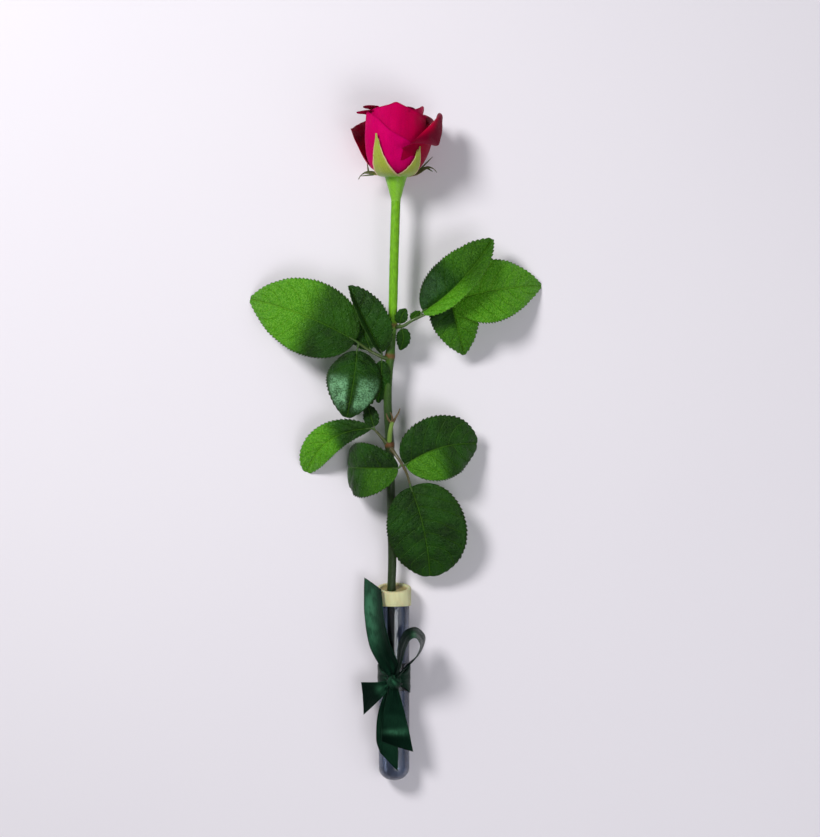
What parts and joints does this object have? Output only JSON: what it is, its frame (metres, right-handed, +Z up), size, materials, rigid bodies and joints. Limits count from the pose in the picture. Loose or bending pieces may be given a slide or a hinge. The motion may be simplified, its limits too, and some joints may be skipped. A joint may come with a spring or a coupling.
{
  "type": "rose in a bud vase",
  "caption": "Long-stemmed red rose lying in a slim water-filled glass tube vase with a soft collar, tied with a dark green satin bow.",
  "frame": {"origin": "middle of the underside of the whole, on the surface it lies on", "axes": "+Y from the vase to the bloom, +Z up, +X to the right seen from above with the bloom at the top"},
  "size_m": [0.23, 0.5252, 0.0658],
  "materials": {
    "tube_glass": "clear drawn glass with a faint smoky blue cast",
    "water": "still water",
    "collar_rubber": "soft matt cream rubber",
    "stem": "smooth green bark with a waxy sheen",
    "leaf": "glossy veined leaf",
    "calyx": "soft pale green sepals",
    "petal": "velvety crimson petals",
    "ribbon_satin": "dark green double-faced satin"
  },
  "bodies": {
    "root": {"vase_tube": "tube_glass", "water": "water", "collar": "collar_rubber", "stem": "stem", "leaf_upper_left": "leaf", "leaf_upper_right": "leaf", "leaf_lower_left": "leaf", "leaf_lower_right": "leaf", "calyx": "calyx", "petals": "petal", "ribbon_bow": "ribbon_satin"}
  },
  "joints": []
}
